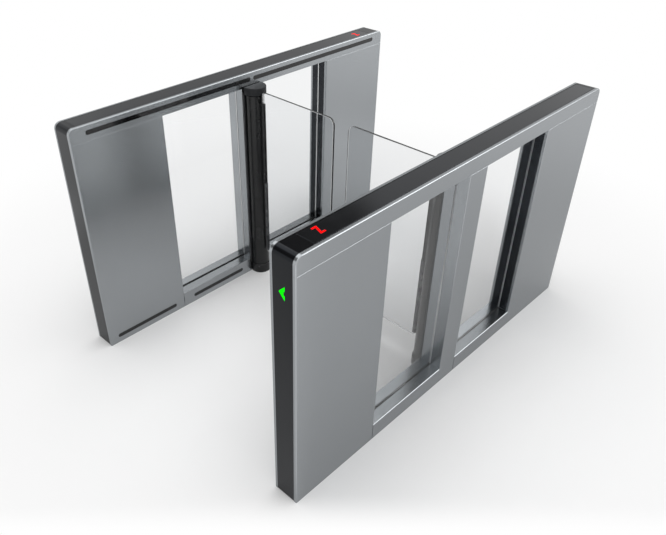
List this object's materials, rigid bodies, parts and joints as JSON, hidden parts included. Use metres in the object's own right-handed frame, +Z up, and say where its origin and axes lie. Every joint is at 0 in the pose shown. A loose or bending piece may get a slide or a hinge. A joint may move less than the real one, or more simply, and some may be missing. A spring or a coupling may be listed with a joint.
{
  "type": "access control gate",
  "caption": "Swing-leaf access control gate: slim steel cabinets with windows and black trim, and clear glass leaves that swing on black posts across the lane.",
  "frame": {"origin": "on the floor, in the middle of the lane and of the cabinets' length", "axes": "+X across the lane to the right cabinet, +Y along the lane and the cabinets, +Z up"},
  "size_m": [1.21, 1.7, 0.98],
  "materials": {
    "brushed_steel": "stainless steel sheet, brushed along its length",
    "black_gloss": "black gloss acrylic trim",
    "black_satin": "black satin powder coat",
    "black_lens": "dark infrared-clear lens",
    "clear_glass": "clear toughened glass with polished edges",
    "bearing_steel": "ground bearing steel",
    "plate_steel": "galvanised steel plate",
    "machine_grey": "grey painted housing",
    "green_light": "green light diffuser",
    "red_light": "red light diffuser"
  },
  "bodies": {
    "cabinets": {"left_base_plate": "plate_steel", "left_entry_panel": "brushed_steel", "left_exit_panel": "brushed_steel", "left_mullion": "brushed_steel", "left_top_rail": "brushed_steel", "left_entry_sill": "brushed_steel", "left_exit_sill": "brushed_steel", "left_entry_cover": "black_gloss", "left_exit_cover": "black_gloss", "left_lid": "black_gloss", "left_entry_liner": "black_gloss", "left_exit_liner": "black_gloss", "left_entry_pane": "clear_glass", "left_exit_pane": "clear_glass", "left_top_sensor_bar": "black_lens", "left_entry_low_sensor": "black_lens", "left_exit_low_sensor": "black_lens", "left_arrow_sign": "green_light", "left_lid_sign": "red_light", "left_controller_box": "machine_grey", "left_post_back": "black_satin", "left_post_cap": "black_satin", "left_post_collar": "black_satin", "left_upper_bearing": "bearing_steel", "left_lower_bearing": "bearing_steel", "left_drive_unit": "machine_grey", "right_base_plate": "plate_steel", "right_entry_panel": "brushed_steel", "right_exit_panel": "brushed_steel", "right_mullion": "brushed_steel", "right_top_rail": "brushed_steel", "right_entry_sill": "brushed_steel", "right_exit_sill": "brushed_steel", "right_entry_cover": "black_gloss", "right_exit_cover": "black_gloss", "right_lid": "black_gloss", "right_entry_liner": "black_gloss", "right_exit_liner": "black_gloss", "right_entry_pane": "clear_glass", "right_exit_pane": "clear_glass", "right_top_sensor_bar": "black_lens", "right_entry_low_sensor": "black_lens", "right_exit_low_sensor": "black_lens", "right_arrow_sign": "green_light", "right_lid_sign": "red_light", "right_controller_box": "machine_grey", "right_post_back": "black_satin", "right_post_cap": "black_satin", "right_post_collar": "black_satin", "right_upper_bearing": "bearing_steel", "right_lower_bearing": "bearing_steel", "right_drive_unit": "machine_grey"},
    "left_leaf": {"left_post_tube": "black_satin", "left_drive_hub": "bearing_steel", "left_leaf_clamp": "black_satin", "left_leaf_glass": "clear_glass"},
    "right_leaf": {"right_post_tube": "black_satin", "right_drive_hub": "bearing_steel", "right_leaf_clamp": "black_satin", "right_leaf_glass": "clear_glass"}
  },
  "joints": [
    {"name": "left_leaf_swing", "type": "hinge", "parent": "cabinets", "child": "left_leaf", "pos_m": [-0.491, 0, 0], "axis": [0, 0, 1], "range_deg": [-90, 90]},
    {"name": "right_leaf_swing", "type": "hinge", "parent": "cabinets", "child": "right_leaf", "pos_m": [0.491, 0, 0], "axis": [0, 0, 1], "range_deg": [-90, 90]}
  ],
  "couplings": [
    {"joint": "right_leaf_swing", "follows": "left_leaf_swing", "ratio": -1}
  ]
}
